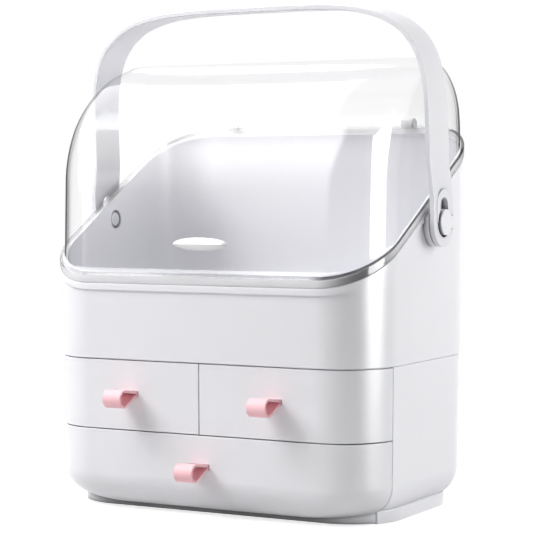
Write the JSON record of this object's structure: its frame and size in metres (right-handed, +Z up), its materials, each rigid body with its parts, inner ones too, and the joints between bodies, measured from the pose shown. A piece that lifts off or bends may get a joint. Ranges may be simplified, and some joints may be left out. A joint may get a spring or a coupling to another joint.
{
  "type": "vanity box with drawers",
  "caption": "Free-standing vanity box with drawers below a slanted tray, a clear hinged lid and a swinging carrying handle.",
  "frame": {"origin": "centre of the overall box's bottom face, on the surface that it stands on", "axes": "+Z up, -Y towards the drawers' fronts, X across"},
  "size_m": [0.307, 0.2264, 0.3834],
  "materials": {
    "body": "satin moulded, cool white",
    "inner": "plain moulded, white",
    "clear": "clear, polished",
    "grip": "glossy white",
    "strap": "smooth coated, pale pink",
    "steel": "plain"
  },
  "bodies": {
    "body": {"base_plate": "body", "cabinet_shell": "body", "middle_shelf": "inner", "centre_divider": "inner", "tray": "body", "handle_stud_left": "body", "handle_stud_right": "body", "stud_screw_left": "steel", "stud_screw_right": "steel", "hinge_pin_left": "steel", "hinge_pin_right": "steel"},
    "lid": {"lid": "clear", "lid_grip": "grip"},
    "handle": {"handle": "body"},
    "left_drawer": {"drawer_front_left": "body", "drawer_box_left": "inner", "pull_left": "strap", "pull_clip_left": "inner"},
    "right_drawer": {"drawer_front_right": "body", "drawer_box_right": "inner", "pull_right": "strap", "pull_clip_right": "inner"},
    "bottom_drawer": {"drawer_front_bottom": "body", "drawer_box_bottom": "inner", "pull_bottom": "strap", "pull_clip_bottom": "inner"}
  },
  "joints": [
    {"name": "lid_hinge", "type": "hinge", "parent": "body", "child": "lid", "pos_m": [0, 0.11004, 0.2855], "axis": [-1, 0, 0], "range_deg": [0, 47.5]},
    {"name": "handle_fold", "type": "hinge", "parent": "body", "child": "handle", "pos_m": [0, 0.01419, 0.218], "axis": [1, 0, 0], "range_deg": [0, 119]},
    {"name": "left_drawer_slide", "type": "slide", "parent": "body", "child": "left_drawer", "axis": [0, -1, 0], "range_m": [0, 0.11]},
    {"name": "right_drawer_slide", "type": "slide", "parent": "body", "child": "right_drawer", "axis": [0, -1, 0], "range_m": [0, 0.11]},
    {"name": "bottom_drawer_slide", "type": "slide", "parent": "body", "child": "bottom_drawer", "axis": [0, -1, 0], "range_m": [0, 0.11]}
  ],
  "couplings": [
    {"joint": "handle_fold", "follows": "lid_hinge", "ratio": 2.5}
  ]
}
